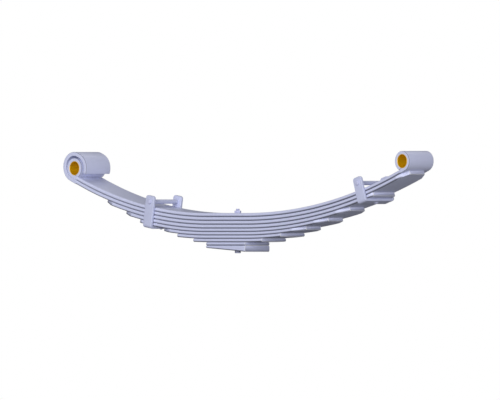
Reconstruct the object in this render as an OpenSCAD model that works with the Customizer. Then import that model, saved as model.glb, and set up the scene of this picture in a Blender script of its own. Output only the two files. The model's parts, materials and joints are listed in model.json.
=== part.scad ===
// Eight-leaf steel spring pack for the steering axle of a heavy truck.
//
// The leaves run along X: the front eye is at -X and the rear eye at +X. Y is the width and Z points up.
// The origin is on the centre bolt, where it leaves the sloping underside of the axle wedge.
// Every leaf has a flat seat and two arms. All the arcs on one side share one centre, so the leaves nest.
// Shapes of an arm are drawn towards +X, and the front arm's are mirrored.

/* [Leaves] */
// Width of the leaves, spacer plate and wedge
leaf_width = 101.6; // [90:0.2:104]
// Thickness of leaves 1 to 4
long_leaf_thick = 11.2; // [10:0.1:12.7]
// Thickness of leaves 5 to 8
short_leaf_thick = 10; // [9:0.1:12]
// Half the length of the flat seat
seat_half = 80; // [70:1:90]
// Radius of the underside of leaf 1 along the front arm
front_radius = 1400; // [1350:10:1600]
// Radius of the underside of leaf 1 along the rear arm
rear_radius = 1670; // [1600:10:1900]

/* [Leaf ends] */
// Centre bolt to the rear end of leaf 2
leaf_2_rear = 738; // [720:1:740]
// Centre bolt to the front end of leaf 3
leaf_3_front = 505; // [490:1:540]
// Centre bolt to the rear end of leaf 3
leaf_3_rear = 602; // [595:1:630]
// Centre bolt to the front end of leaf 4
leaf_4_front = 428; // [410:1:450]
// Centre bolt to the rear end of leaf 4
leaf_4_rear = 492; // [480:1:510]
// Centre bolt to the front end of leaf 5
leaf_5_front = 358; // [350:1:370]
// Centre bolt to the rear end of leaf 5
leaf_5_rear = 403; // [390:1:420]
// Centre bolt to the front end of leaf 6
leaf_6_front = 273; // [260:1:280]
// Centre bolt to the rear end of leaf 6
leaf_6_rear = 312; // [300:1:330]
// Centre bolt to the front end of leaf 7
leaf_7_front = 199; // [190:1:210]
// Centre bolt to the rear end of leaf 7
leaf_7_rear = 225; // [215:1:240]
// Centre bolt to the front end of leaf 8
leaf_8_front = 133; // [125:1:145]
// Centre bolt to the rear end of leaf 8
leaf_8_rear = 148; // [140:1:160]
// Length of the bevelled corners, along the leaf
corner_long = 40; // [25:1:45]
// Depth of the bevelled corners, across the leaf
corner_deep = 21; // [12:1:25]
// Share of a full corner that the small corners take
small_corner = 0.33; // [0.2:0.01:0.5]

/* [Eyes] */
// Centre bolt to the centre of the front eye
front_eye_x = 622; // [610:1:640]
// Centre bolt to the centre of the rear eye
rear_eye_x = 726; // [710:1:745]
// Height of the eyes' axes above the underside of leaf 1
eye_rise = 29.6; // [29.5:0.1:32]
// Outer radius of the rolled eyes
eye_outer = 29.4; // [29:0.1:29.5]
// Radius of the hole that takes the bushing
eye_inner = 20.6; // [20.4:0.1:22]
// Gap between the rolled end and the top of leaf 1
eye_slit = 1.2; // [0.8:0.1:2]
// Bore of the bushings
bushing_bore = 38.1; // [34:0.1:39]
// Gap between a bushing and its eye
bushing_gap = 0.02; // [0.01:0.01:0.1]
// Inner radius of the second leaf's wrap round the front eye
wrap_inner = 32; // [31:0.1:34]
// Half the straight stretch at the top and bottom of the wrap
wrap_straight = 5; // [2:0.5:6]
// How much narrower than the leaf the wrap is, on each side
wrap_narrowing = 1; // [0.5:0.5:8]
// Centre bolt to the step where the wrap narrows
wrap_step_x = 567; // [560:1:568]

/* [Axle seat] */
// Thickness of the spacer plate
spacer_thick = 9.6; // [8:0.1:12]
// Thickness of the wedge at the centre bolt
wedge_thick = 13; // [11:0.5:16]
// Slope of the wedge's underside
wedge_angle = 4; // [1:0.5:5]
// Diameter of the centre bolt's shank
bolt_shank = 11.1; // [10:0.1:12]
// Diameter of the centre bolt's round head
bolt_head = 17.5; // [16:0.5:19]
// How far the bolt head stands below the wedge
bolt_head_drop = 9.6; // [8:0.1:11]
// Width across the flats of the centre bolt's nut
nut_flats = 17.5; // [16:0.5:20]
// Height of the centre bolt's nut
nut_high = 7; // [6:0.5:9]
// How far the bolt stands above its nut
bolt_tail = 5.4; // [3:0.1:8]
// Diameter of the bolt hole through the pack
pack_hole = 12.2; // [12.2:0.1:13]

/* [Clips] */
// Centre bolt to the front clip
front_clip_x = 307; // [300:1:320]
// Centre bolt to the rear clip
rear_clip_x = 561; // [555:1:570]
// Width of the clip strap
clip_wide = 34; // [28:1:36]
// Thickness of the clip strap
clip_thick = 8; // [6:0.5:9]
// Gap between the ears and the sides of the leaves
clip_side_gap = 1.2; // [0.8:0.1:2.5]
// Radius of the top corners of the ears
ear_round = 8; // [4:0.5:12]
// Height of the ears above the clip bolt
ear_above_bolt = 17.5; // [12:0.5:20]
// Height of the front clip's bolt above leaf 1
front_bolt_rise = 15; // [12:0.5:22]
// Height of the rear clip's bolt above leaf 1
rear_bolt_rise = 17.7; // [12:0.1:22]
// Diameter of the clip bolts
clip_bolt = 9.5; // [8:0.1:9.6]
// Outer diameter of the spacer tubes
tube_outer = 12.7; // [12:0.1:14]
// Inner diameter of the spacer tubes and of the ears' holes
tube_inner = 10.2; // [10:0.1:10.6]
// Diameter of the clip bolts' round heads
clip_bolt_head = 14; // [12:0.5:16]
// Height of the clip bolts' round heads
clip_head_high = 5; // [4:0.5:6]
// Width across the flats of the clip bolts' nuts
clip_nut_flats = 14.3; // [14:0.1:16]
// Height of the clip bolts' nuts
clip_nut_high = 8; // [6:0.5:9]
// How far the clip bolts stand past their nuts
clip_bolt_tail = 3; // [1:0.5:6]
// Diameter of the rivets that hold the clips
rivet_shank = 8; // [6:0.5:9]
// Diameter of the rivets' domed heads
rivet_head = 13; // [11:0.5:14]
// Height of the rivets' domed heads
rivet_head_high = 4.5; // [3:0.5:6]

/* [Hidden] */
$fn = 96;
ARC_FN = 720;      // sides of the long arcs
FRONT = "front";
REAR = "rear";
NONE = 0;          // no bevel on a leaf end's corners
FULL = 1;          // a whole bevel
long_leaves = 4;
leaf_count = 8;
clear = 0.3;       // round the rivets, where they pass through a leaf
contact = 0.05;    // between a clip and the leaf that it is riveted to
thread_gap = 0.05; // between a nut and its bolt
edge_break = 1;    // chamfer on bolt ends, heads and bushings
seat_cut = 0.02;   // depth of the wedge's spot face at its shallowest
wrap_lap = 0.1; // angle by which the arc of leaf 2 runs on into its wrap
over = 1;          // how far a cutting shape runs past what it cuts

function leaf_thick(n) = n <= long_leaves ? long_leaf_thick : short_leaf_thick;
// Depth of the top and bottom of leaf n, measured down from the underside of leaf 1
function leaf_top(n) = n == 1 ? -long_leaf_thick : leaf_bottom(n - 1);
function leaf_bottom(n) = leaf_top(n) + leaf_thick(n);

leaves_deep = leaf_bottom(leaf_count);
datum_z = wedge_thick + spacer_thick + leaves_deep; // height of the underside of leaf 1
pack_top_z = datum_z + long_leaf_thick;
head_seat_z = (bolt_head / 2 + over) * tan(wedge_angle) + seat_cut; // where the bolt head seats

function arm_radius(side) = side == FRONT ? front_radius : rear_radius;
function eye_x(side) = side == FRONT ? front_eye_x : rear_eye_x;
// Slope of an arm at distance x from the centre bolt, on the arc that lies depth below leaf 1
function arm_angle(side, x, depth = 0) = asin((x - seat_half) / (arm_radius(side) + depth));
function eye_angle(side) = arm_angle(side, eye_x(side), -eye_rise);
function clip_angle(side) = arm_angle(side, side == FRONT ? front_clip_x : rear_clip_x);
function clip_leaf(side) = side == FRONT ? 5 : 3;
function clip_bolt_rise(side) = long_leaf_thick + (side == FRONT ? front_bolt_rise : rear_bolt_rise);

ear_inner_y = leaf_width / 2 + clip_side_gap;
ear_outer_y = ear_inner_y + clip_thick;

// ---- placing ----

// Turns a shape drawn towards +X into one on the given side
module on_side(side) {
    if (side == FRONT) mirror([1, 0, 0]) children();
    else children();
}

// Moves flat children to the arc at the given depth below leaf 1: x along the leaf, y square to it
module at_arc_2d(side, angle, depth = 0) {
    radius = arm_radius(side);
    translate([seat_half + (radius + depth) * sin(angle), radius - (radius + depth) * cos(angle)])
        rotate(angle) children();
}

// The same for solid children, with z square to the leaf
module at_arc(side, angle, depth = 0) {
    radius = arm_radius(side);
    on_side(side)
        translate([seat_half + (radius + depth) * sin(angle), 0,
                   datum_z + radius - (radius + depth) * cos(angle)])
            rotate([0, -angle, 0]) children();
}

// Gives a side outline its width across the spring
module across(width) {
    rotate([90, 0, 0]) linear_extrude(width, center = true) children();
}

// ---- leaves ----

// Side outline of one arm of a leaf, from the seat to the given angle
module arm_outline(side, top, bottom, angle) {
    radius = arm_radius(side);
    reach = 1.2 * radius;
    translate([seat_half, radius]) intersection() {
        difference() {
            circle(radius + bottom, $fn = ARC_FN);
            circle(radius + top, $fn = ARC_FN);
        }
        polygon([[0, 0], [0, -reach], [reach * sin(angle), -reach * cos(angle)]]);
    }
}

// Side outline of leaf n between two end angles, with the underside of leaf 1 at y = 0
module leaf_outline(n, front_angle, rear_angle) {
    translate([-seat_half, -leaf_bottom(n)]) square([2 * seat_half, leaf_thick(n)]);
    arm_outline(REAR, leaf_top(n), leaf_bottom(n), rear_angle);
    mirror([1, 0]) arm_outline(FRONT, leaf_top(n), leaf_bottom(n), front_angle);
}

// Solid that bevels both corners of a leaf end
module corner_bevels(side, angle, n, share) {
    long = corner_long * share;
    deep = corner_deep * share;
    if (share > NONE)
        at_arc(side, angle, (leaf_top(n) + leaf_bottom(n)) / 2)
            for (m = [0, 1]) mirror([0, m, 0])
                linear_extrude(2 * leaf_thick(n), center = true)
                    polygon([[-1.5 * long, leaf_width / 2 + deep / 2],
                             [long / 2, leaf_width / 2 - 1.5 * deep],
                             [long / 2, leaf_width / 2 + deep / 2]]);
}

// Hole for the centre bolt, from z = bottom up
module bolt_hole(bottom, high) {
    translate([0, 0, bottom]) cylinder(d = pack_hole, h = high);
}

// Hole for the rivet of a clip, with the recess for its flush head in the top of the leaf
module rivet_hole(side) {
    at_arc(side, clip_angle(side)) {
        translate([0, 0, -leaf_bottom(clip_leaf(side)) - over])
            cylinder(d = rivet_shank + 2 * clear, h = leaf_thick(clip_leaf(side)) + 2 * over);
        flush_head(side, clear);
    }
}

// Cone under the flush head of a rivet
module flush_head(side, grow = 0) {
    deep = rivet_shank / 2;
    translate([0, 0, -leaf_top(clip_leaf(side)) - deep])
        cylinder(d1 = rivet_shank + 2 * grow, d2 = 2 * rivet_shank + 2 * grow, h = deep);
    translate([0, 0, -leaf_top(clip_leaf(side))])
        cylinder(d = 2 * rivet_shank + 2 * grow, h = grow);
}

// A plain leaf: n counts from the top, and share is how much of a full corner each end loses
module leaf(n, front_x, rear_x, front_share, rear_share) {
    middle = (leaf_top(n) + leaf_bottom(n)) / 2;
    front_angle = arm_angle(FRONT, front_x, middle);
    rear_angle = arm_angle(REAR, rear_x, middle);
    difference() {
        translate([0, 0, datum_z]) across(leaf_width) leaf_outline(n, front_angle, rear_angle);
        corner_bevels(FRONT, front_angle, n, front_share);
        corner_bevels(REAR, rear_angle, n, rear_share);
        bolt_hole(datum_z - leaf_bottom(n) - over, leaf_thick(n) + 2 * over);
        for (side = [FRONT, REAR]) if (clip_leaf(side) == n) rivet_hole(side);
    }
}

module leaf_3() {
    color("lightsteelblue") leaf(3, leaf_3_front, leaf_3_rear, FULL, small_corner);
}

module leaf_4() {
    color("lightsteelblue") leaf(4, leaf_4_front, leaf_4_rear, FULL, FULL);
}

module leaf_5() {
    color("lightsteelblue") leaf(5, leaf_5_front, leaf_5_rear, small_corner, FULL);
}

module leaf_6() {
    color("lightsteelblue") leaf(6, leaf_6_front, leaf_6_rear, FULL, FULL);
}

module leaf_7() {
    color("lightsteelblue") leaf(7, leaf_7_front, leaf_7_rear, NONE, NONE);
}

module leaf_8() {
    color("lightsteelblue") leaf(8, leaf_8_front, leaf_8_rear, NONE, NONE);
}

// Moves flat children to the axis of an eye, on the eye's own side
module at_eye_2d(side) {
    on_side(side) at_arc_2d(side, eye_angle(side), -eye_rise) children();
}

// Outline of a rolled end before its hole is cut: it rolls over until it is a slit's width above the leaf
module rolled_end_outline() {
    end_y = long_leaf_thick + eye_slit - eye_rise;
    far = 2 * eye_outer;
    difference() {
        circle(eye_outer);
        translate([-far - eye_outer / 3, end_y - far]) square(far);
    }
}

module leaf_1_main() {
    color("lightsteelblue") difference() {
        translate([0, 0, datum_z]) across(leaf_width) difference() {
            union() {
                leaf_outline(1, eye_angle(FRONT), eye_angle(REAR));
                at_eye_2d(FRONT) rolled_end_outline();
                at_eye_2d(REAR) rolled_end_outline();
            }
            at_eye_2d(FRONT) circle(eye_inner);
            at_eye_2d(REAR) circle(eye_inner);
        }
        bolt_hole(datum_z - over, long_leaf_thick + 2 * over);
    }
}

// A bar's outline with round ends, about the middle of the wrap
module wrap_oval(radius) {
    for (s = [-1, 1]) translate([s * wrap_straight, 0]) circle(radius);
    square([2 * wrap_straight, 2 * radius], center = true);
}

// Side outline of the wrap, drawn about the front eye: it passes under, outside and over the eye
module wrap_outline() {
    outer = wrap_inner + leaf_thick(2);
    translate([0, wrap_inner - eye_rise]) difference() {
        wrap_oval(outer);
        wrap_oval(wrap_inner);
        translate([-2 * outer, -2 * outer]) square([2 * outer, 2 * outer]);
    }
}

// Solid that narrows the wrap on both sides
module wrap_narrowing_cut() {
    edge = leaf_width / 2;
    far = front_eye_x + 3 * eye_outer;
    on_side(FRONT) for (m = [0, 1]) mirror([0, m, 0])
        linear_extrude(front_eye_x)
            polygon([[wrap_step_x - wrap_narrowing, edge], [wrap_step_x, edge - wrap_narrowing],
                     [far, edge - wrap_narrowing], [far, edge + over],
                     [wrap_step_x - wrap_narrowing, edge + over]]);
}

module leaf_2_wrapper() {
    rear_angle = arm_angle(REAR, leaf_2_rear, (leaf_top(2) + leaf_bottom(2)) / 2);
    color("lightsteelblue") difference() {
        translate([0, 0, datum_z]) across(leaf_width) {
            leaf_outline(2, eye_angle(FRONT) + wrap_lap, rear_angle);
            at_eye_2d(FRONT) wrap_outline();
        }
        wrap_narrowing_cut();
        corner_bevels(REAR, rear_angle, 2, FULL);
        bolt_hole(datum_z - leaf_bottom(2) - over, leaf_thick(2) + 2 * over);
    }
}

// ---- axle seat ----

module spacer_plate() {
    color("lightsteelblue") difference() {
        translate([-seat_half, -leaf_width / 2, wedge_thick])
            cube([2 * seat_half, leaf_width, spacer_thick]);
        bolt_hole(wedge_thick - over, spacer_thick + 2 * over);
    }
}

// Tapered plate, thin at the front, that tips the axle and carries the bolt head on a spot face
module axle_wedge() {
    drop = seat_half * tan(wedge_angle);
    color("lightsteelblue") difference() {
        across(leaf_width)
            polygon([[-seat_half, drop], [seat_half, -drop],
                     [seat_half, wedge_thick], [-seat_half, wedge_thick]]);
        bolt_hole(-over, wedge_thick + 2 * over);
        translate([0, 0, head_seat_z - wedge_thick])
            cylinder(d = bolt_head + 2 * over, h = wedge_thick);
    }
}

// Turned outline of a solid of revolution with one chamfered end, from the axis out
module chamfered_rod(d, high, chamfer) {
    cylinder(d = d, h = high - chamfer);
    translate([0, 0, high - chamfer]) cylinder(d1 = d, d2 = d - 2 * chamfer, h = chamfer);
}

module centre_bolt() {
    color("slategray") {
        translate([0, 0, head_seat_z]) mirror([0, 0, 1])
            chamfered_rod(bolt_head, head_seat_z + bolt_head_drop, edge_break);
        translate([0, 0, head_seat_z])
            chamfered_rod(bolt_shank, pack_top_z + nut_high + bolt_tail - head_seat_z, edge_break);
    }
}

// A hexagonal nut on the z axis, with flats at +y and -y, and corners rounded off at both faces
module hex_nut(flats, high, bore) {
    across_corners = flats / cos(30);
    difference() {
        intersection() {
            cylinder(d = across_corners, h = high, $fn = 6);
            union() {
                cylinder(d1 = flats, d2 = across_corners + 2 * over, h = high / 4);
                translate([0, 0, high / 4])
                    cylinder(d = across_corners + 2 * over, h = high / 2);
                translate([0, 0, 3 * high / 4])
                    cylinder(d1 = across_corners + 2 * over, d2 = flats, h = high / 4);
            }
        }
        translate([0, 0, -over]) cylinder(d = bore, h = high + 2 * over);
    }
}

module centre_bolt_nut() {
    color("slategray") translate([0, 0, pack_top_z])
        hex_nut(nut_flats, nut_high, bolt_shank + 2 * thread_gap);
}

// ---- eyes ----

// Plain bronze sleeve with chamfered ends, pressed into an eye
module eye_bushing(side) {
    outer = eye_inner - bushing_gap;
    inner = bushing_bore / 2;
    half = leaf_width / 2;
    at_arc(side, eye_angle(side), -eye_rise) rotate([90, 0, 0]) rotate_extrude()
        polygon([[inner, -half], [outer - edge_break, -half], [outer, edge_break - half],
                 [outer, half - edge_break], [outer - edge_break, half], [inner, half]]);
}

module front_eye_bushing() {
    color("darkgoldenrod") eye_bushing(FRONT);
}

module rear_eye_bushing() {
    color("darkgoldenrod") eye_bushing(REAR);
}

// ---- clips ----

// Side outline of an ear, from the strap's bend to its rounded top, with the bolt's hole
module ear_outline(bottom, bolt_z) {
    top = bolt_z + ear_above_bolt;
    difference() {
        union() {
            translate([-clip_wide / 2, bottom]) square([clip_wide, top - ear_round - bottom]);
            translate([-clip_wide / 2 + ear_round, bottom])
                square([clip_wide - 2 * ear_round, top - bottom]);
            for (s = [-1, 1])
                translate([s * (clip_wide / 2 - ear_round), top - ear_round]) circle(ear_round);
        }
        translate([0, bolt_z]) circle(d = tube_inner);
    }
}

// End outline of the strap under the leaves, with its two bends
module strap_outline(seat) {
    bend = clip_thick + clip_side_gap;
    difference() {
        union() {
            translate([-ear_outer_y, seat - clip_thick + bend])
                square([2 * ear_outer_y, clip_side_gap]);
            translate([-ear_outer_y + bend, seat - clip_thick])
                square([2 * (ear_outer_y - bend), clip_thick]);
            for (s = [-1, 1])
                translate([s * (ear_outer_y - bend), seat - clip_thick + bend]) circle(bend);
        }
        translate([-ear_inner_y, seat + clip_side_gap]) square([2 * ear_inner_y, 2 * bend]);
        translate([-leaf_width / 2, seat]) square([leaf_width, 2 * bend]);
        for (s = [-1, 1]) translate([s * leaf_width / 2, seat + clip_side_gap]) circle(clip_side_gap);
    }
}

// U-shaped strap that holds the leaves together, square to the arm
module clip(side) {
    seat = -leaf_bottom(clip_leaf(side)) - contact;
    at_arc(side, clip_angle(side)) difference() {
        union() {
            rotate([90, 0, 90]) linear_extrude(clip_wide, center = true) strap_outline(seat);
            for (m = [0, 1]) mirror([0, m, 0])
                translate([0, ear_outer_y, 0]) rotate([90, 0, 0]) linear_extrude(clip_thick)
                    ear_outline(seat + clip_side_gap, clip_bolt_rise(side));
        }
        translate([0, 0, seat - clip_thick - over])
            cylinder(d = rivet_shank, h = clip_thick + 2 * over);
    }
}

// Rivet with a flush head in the leaf and a domed head under the strap
module clip_rivet(side) {
    seat = -leaf_bottom(clip_leaf(side)) - contact - clip_thick;
    dome = (pow(rivet_head / 2, 2) + pow(rivet_head_high, 2)) / (2 * rivet_head_high);
    at_arc(side, clip_angle(side)) {
        flush_head(side);
        translate([0, 0, seat])
            cylinder(d = rivet_shank, h = -leaf_top(clip_leaf(side)) - seat);
        intersection() {
            translate([0, 0, seat + dome - rivet_head_high]) sphere(dome);
            translate([0, 0, seat - rivet_head_high]) cylinder(d = rivet_head, h = rivet_head_high);
        }
    }
}

// Moves children to a clip's bolt: z runs from the round head at -y towards the nut at +y
module at_clip_bolt(side) {
    at_arc(side, clip_angle(side)) translate([0, 0, clip_bolt_rise(side)]) rotate([-90, 0, 0]) children();
}

// Clip bolt with a round head on the near side
module clip_bolt(side) {
    head_y = ear_outer_y;
    at_clip_bolt(side) {
        translate([0, 0, -head_y]) mirror([0, 0, 1])
            chamfered_rod(clip_bolt_head, clip_head_high, edge_break);
        translate([0, 0, -head_y])
            chamfered_rod(clip_bolt, 2 * head_y + clip_nut_high + clip_bolt_tail, edge_break);
    }
}

// Tube between the ears, which keeps the bolt from pinching them in
module clip_spacer(side) {
    at_clip_bolt(side) translate([0, 0, -ear_inner_y]) difference() {
        cylinder(d = tube_outer, h = 2 * ear_inner_y);
        translate([0, 0, -over]) cylinder(d = tube_inner, h = 2 * (ear_inner_y + over));
    }
}

module clip_nut(side) {
    at_clip_bolt(side) translate([0, 0, ear_outer_y])
        hex_nut(clip_nut_flats, clip_nut_high, clip_bolt + 2 * thread_gap);
}

module front_clip() {
    color("lightsteelblue") clip(FRONT);
}

module front_clip_rivet() {
    color("slategray") clip_rivet(FRONT);
}

module front_clip_bolt() {
    color("slategray") clip_bolt(FRONT);
}

module front_clip_spacer() {
    color("lightsteelblue") clip_spacer(FRONT);
}

module front_clip_nut() {
    color("slategray") clip_nut(FRONT);
}

module rear_clip() {
    color("lightsteelblue") clip(REAR);
}

module rear_clip_rivet() {
    color("slategray") clip_rivet(REAR);
}

module rear_clip_bolt() {
    color("slategray") clip_bolt(REAR);
}

module rear_clip_spacer() {
    color("lightsteelblue") clip_spacer(REAR);
}

module rear_clip_nut() {
    color("slategray") clip_nut(REAR);
}

leaf_1_main();
leaf_2_wrapper();
leaf_3();
leaf_4();
leaf_5();
leaf_6();
leaf_7();
leaf_8();
spacer_plate();
axle_wedge();
centre_bolt();
centre_bolt_nut();
front_eye_bushing();
rear_eye_bushing();
front_clip();
front_clip_rivet();
front_clip_bolt();
front_clip_spacer();
front_clip_nut();
rear_clip();
rear_clip_rivet();
rear_clip_bolt();
rear_clip_spacer();
rear_clip_nut();
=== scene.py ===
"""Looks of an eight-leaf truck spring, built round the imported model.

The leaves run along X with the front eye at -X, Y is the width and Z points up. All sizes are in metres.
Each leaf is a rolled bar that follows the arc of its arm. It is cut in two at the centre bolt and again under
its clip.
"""

import json
import logging
import math
from dataclasses import dataclass
from enum import Enum
from typing import Callable, Iterable, Sequence, Union

import bmesh
import bpy
from mathutils import Matrix, Vector


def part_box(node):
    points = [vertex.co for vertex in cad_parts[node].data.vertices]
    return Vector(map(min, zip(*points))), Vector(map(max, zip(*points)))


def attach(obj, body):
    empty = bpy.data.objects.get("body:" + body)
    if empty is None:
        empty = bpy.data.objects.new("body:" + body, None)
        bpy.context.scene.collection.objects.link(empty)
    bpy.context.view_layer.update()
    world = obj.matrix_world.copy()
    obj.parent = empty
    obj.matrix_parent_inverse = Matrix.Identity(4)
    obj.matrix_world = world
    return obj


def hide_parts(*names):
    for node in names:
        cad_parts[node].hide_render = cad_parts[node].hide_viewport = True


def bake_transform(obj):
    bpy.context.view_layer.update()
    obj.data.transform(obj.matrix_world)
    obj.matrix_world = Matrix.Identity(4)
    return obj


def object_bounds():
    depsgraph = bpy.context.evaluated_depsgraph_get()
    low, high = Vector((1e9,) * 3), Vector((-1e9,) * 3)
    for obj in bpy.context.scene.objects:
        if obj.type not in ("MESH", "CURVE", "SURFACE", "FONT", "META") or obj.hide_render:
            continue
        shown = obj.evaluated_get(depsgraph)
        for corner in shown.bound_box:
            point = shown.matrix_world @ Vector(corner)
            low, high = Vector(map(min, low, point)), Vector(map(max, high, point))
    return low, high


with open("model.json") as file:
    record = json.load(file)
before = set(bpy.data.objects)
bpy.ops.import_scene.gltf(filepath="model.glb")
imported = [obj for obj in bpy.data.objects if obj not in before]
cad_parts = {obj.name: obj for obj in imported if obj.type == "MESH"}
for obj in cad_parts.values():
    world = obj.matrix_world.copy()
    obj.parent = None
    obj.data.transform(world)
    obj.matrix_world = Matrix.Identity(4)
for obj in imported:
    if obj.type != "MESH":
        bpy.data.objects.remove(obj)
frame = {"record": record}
CAD_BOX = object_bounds()
MM = 0.001
QUARTER = math.pi / 2
ROOT = "root"
MOUNTS = {mount["name"]: mount for mount in frame["record"]["mounts"]}
Piece = bpy.types.Object
Finish = bpy.types.Material
log = logging.getLogger("leaf_spring")


def placed(name: str, data: bpy.types.ID) -> Piece:
    """Puts a new object into the scene, at the origin."""
    made = bpy.data.objects.new(name, data)
    bpy.context.scene.collection.objects.link(made)
    return made


# ---- node trees written as Python ----

Operand = Union["Value", float, int]


class Value:
    """A number that a node tree works out. Python's operators on it add Math nodes."""

    def __init__(self, graph: "Graph", socket: bpy.types.NodeSocket) -> None:
        """Wraps an output socket of the graph's tree."""
        self.graph = graph
        self.socket = socket

    def __add__(self, other: Operand) -> "Value":
        """self + other"""
        return self.graph.math("ADD", self, other)

    __radd__ = __add__

    def __sub__(self, other: Operand) -> "Value":
        """self - other"""
        return self.graph.math("SUBTRACT", self, other)

    def __rsub__(self, other: Operand) -> "Value":
        """other - self"""
        return self.graph.math("SUBTRACT", other, self)

    def __mul__(self, other: Operand) -> "Value":
        """self * other"""
        return self.graph.math("MULTIPLY", self, other)

    __rmul__ = __mul__

    def __truediv__(self, other: Operand) -> "Value":
        """self / other"""
        return self.graph.math("DIVIDE", self, other)

    def __mod__(self, other: Operand) -> "Value":
        """self % other, rounded down as Python does"""
        return self.graph.math("FLOORED_MODULO", self, other)

    def __neg__(self) -> "Value":
        """-self"""
        return self.graph.math("MULTIPLY", self, -1.0)

    def __abs__(self) -> "Value":
        """abs(self)"""
        return self.graph.math("ABSOLUTE", self)


class Graph:
    """A node tree that is being built, for a material or for geometry."""

    def __init__(self, tree: bpy.types.NodeTree) -> None:
        """Takes the tree that the nodes go into."""
        self.tree = tree

    def node(self, kind: str, settings: dict | None = None, inputs: dict | None = None) -> bpy.types.Node:
        """Adds any node.

        Args:
            kind: the node's type.
            settings: the node's own settings, such as an operation.
            inputs: values or links for its sockets, by name or number.

        Returns:
            The new node.
        """
        made = self.tree.nodes.new(kind)
        for name, value in (settings or {}).items():
            setattr(made, name, value)
        for key, value in (inputs or {}).items():
            self._feed(made.inputs[key], value)
        return made

    def _feed(self, socket: bpy.types.NodeSocket, value: object) -> None:
        """Links or sets one input socket."""
        if isinstance(value, Value):
            value = value.socket
        if isinstance(value, bpy.types.NodeSocket):
            self.tree.links.new(value, socket)
        else:
            socket.default_value = value

    def out(self, made: bpy.types.Node, key: str | int = 0) -> Value:
        """One output of a node, ready for operators."""
        return Value(self, made.outputs[key])

    def math(self, operation: str, *operands: Operand) -> Value:
        """Adds a Math node and returns its result."""
        return self.out(self.node("ShaderNodeMath", {"operation": operation}, dict(enumerate(operands))))

    def clamp(self, value: Value, low: Operand = 0.0, high: Operand = 1.0) -> Value:
        """value held between low and high."""
        return self.math("MINIMUM", self.math("MAXIMUM", value, low), high)

    def vector(self, operation: str, *operands: object) -> Value:
        """Adds a Vector Math node and returns its vector."""
        made = self.node("ShaderNodeVectorMath", {"operation": operation}, dict(enumerate(operands)))
        return self.out(made)

    def scaled(self, vector: Value, factor: Operand) -> Value:
        """vector times a number."""
        made = self.node("ShaderNodeVectorMath", {"operation": "SCALE"}, {0: vector, "Scale": factor})
        return self.out(made)

    def parts(self, vector: object) -> tuple[Value, Value, Value]:
        """The x, y and z of a vector."""
        made = self.node("ShaderNodeSeparateXYZ", inputs={0: vector})
        return self.out(made, 0), self.out(made, 1), self.out(made, 2)

    def joined(self, x: Operand, y: Operand, z: Operand) -> Value:
        """A vector of three numbers."""
        return self.out(self.node("ShaderNodeCombineXYZ", inputs={0: x, 1: y, 2: z}))


class ShapeTree(Graph):
    """A Geometry Nodes tree with named inputs, which makes one kind of piece."""

    def __init__(self, name: str, inputs: dict[str, str]) -> None:
        """Starts the tree.

        Args:
            name: the tree's name.
            inputs: the kind of socket of each named input: Float, Int, Geometry or Material.
        """
        super().__init__(bpy.data.node_groups.new(name, "GeometryNodeTree"))
        face = self.tree.interface
        for label, kind in inputs.items():
            face.new_socket(label, in_out="INPUT", socket_type=f"NodeSocket{kind}")
        face.new_socket("Geometry", in_out="OUTPUT", socket_type="NodeSocketGeometry")
        self.entry = self.tree.nodes.new("NodeGroupInput")
        self.exit = self.tree.nodes.new("NodeGroupOutput")

    def given(self, label: str) -> Value:
        """The value of a named input."""
        return self.out(self.entry, label)

    def moved(self, geometry: Value, position: Value) -> Value:
        """Geometry with its points at the given position."""
        inputs = {"Geometry": geometry, "Position": position}
        return self.out(self.node("GeometryNodeSetPosition", inputs=inputs))

    def stored(self, geometry: Value, name: str, value: Value, kind: str = "FLOAT") -> Value:
        """Geometry with a value kept on its points under a name."""
        settings = {"data_type": kind, "domain": "POINT"}
        inputs = {"Geometry": geometry, "Name": name, "Value": value}
        return self.out(self.node("GeometryNodeStoreNamedAttribute", settings, inputs))

    def close(self, geometry: Value) -> None:
        """Ends the tree with real geometry that has its material."""
        real = self.node("GeometryNodeRealizeInstances", inputs={"Geometry": geometry})
        inputs = {"Geometry": real.outputs[0], "Material": self.given("Material")}
        painted = self.node("GeometryNodeSetMaterial", inputs=inputs)
        self._feed(self.exit.inputs[0], painted.outputs[0])

    def make(self, name: str, values: dict[str, object], start: bpy.types.Mesh | None = None) -> Piece:
        """Runs the tree once and keeps its result as a plain mesh.

        Args:
            name: the new piece's name.
            values: the inputs' values, by label.
            start: the mesh that the tree works on, where it has a Geometry input.

        Returns:
            The new piece, with closed faces that point outwards.
        """
        host = placed(f"{name}_host", start or bpy.data.meshes.new(f"{name}_host"))
        modifier = host.modifiers.new("shape", "NODES")
        modifier.node_group = self.tree
        for item in self.tree.interface.items_tree:
            if item.in_out == "INPUT" and item.name in values:
                modifier[item.identifier] = values[item.name]
        graph = bpy.context.evaluated_depsgraph_get()
        evaluated = host.evaluated_get(graph)
        mesh = bpy.data.meshes.new_from_object(evaluated, preserve_all_data_layers=True, depsgraph=graph)
        bpy.data.objects.remove(host)
        mesh.name = name
        tidy_mesh(mesh)
        return placed(name, mesh)


# ---- mesh help ----

SHARP_TURN = math.radians(24)
END_CORNERS = 8      # a bar's end face has more corners than this, and its other faces fewer


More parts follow.
